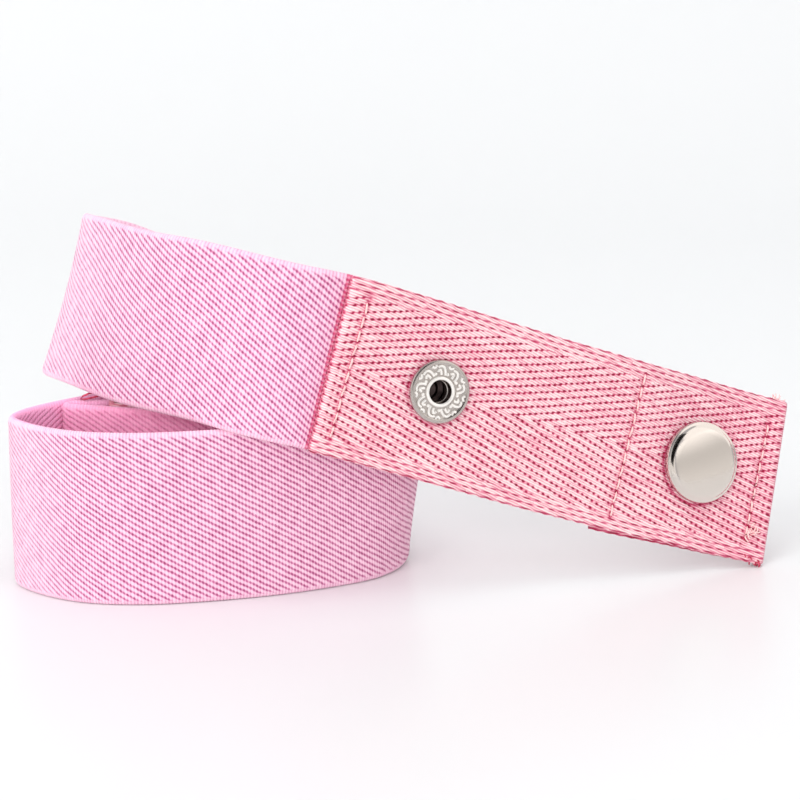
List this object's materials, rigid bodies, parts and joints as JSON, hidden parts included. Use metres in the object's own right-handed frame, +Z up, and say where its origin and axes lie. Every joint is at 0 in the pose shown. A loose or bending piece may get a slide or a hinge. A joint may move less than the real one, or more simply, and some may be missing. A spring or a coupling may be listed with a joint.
{
  "type": "elastic belt with snap tabs",
  "caption": "Buckle-free elastic waist belt coiled on its edge, with woven tabs that snap round belt loops.",
  "frame": {"origin": "middle of the coiled belt's plan, on the plane its lower turns stand on", "axes": "+Z up across the band's width, +X towards the outer tab's folded end, +Y into the coil's back"},
  "size_m": [0.1458, 0.0508, 0.0652],
  "materials": {
    "elastic": "twill-woven pink elastic",
    "webbing": "coarse herringbone pink webbing",
    "snap_metal": "satin nickel plated"
  },
  "bodies": {
    "root": {"elastic_band": "elastic", "outer_tab_webbing": "webbing", "inner_tab_webbing": "webbing", "outer_snap_cap": "snap_metal", "outer_snap_socket": "snap_metal", "outer_snap_eyelet": "snap_metal", "outer_snap_stud": "snap_metal", "inner_snap_cap": "snap_metal", "inner_snap_socket": "snap_metal", "inner_snap_eyelet": "snap_metal", "inner_snap_stud": "snap_metal"}
  },
  "joints": []
}
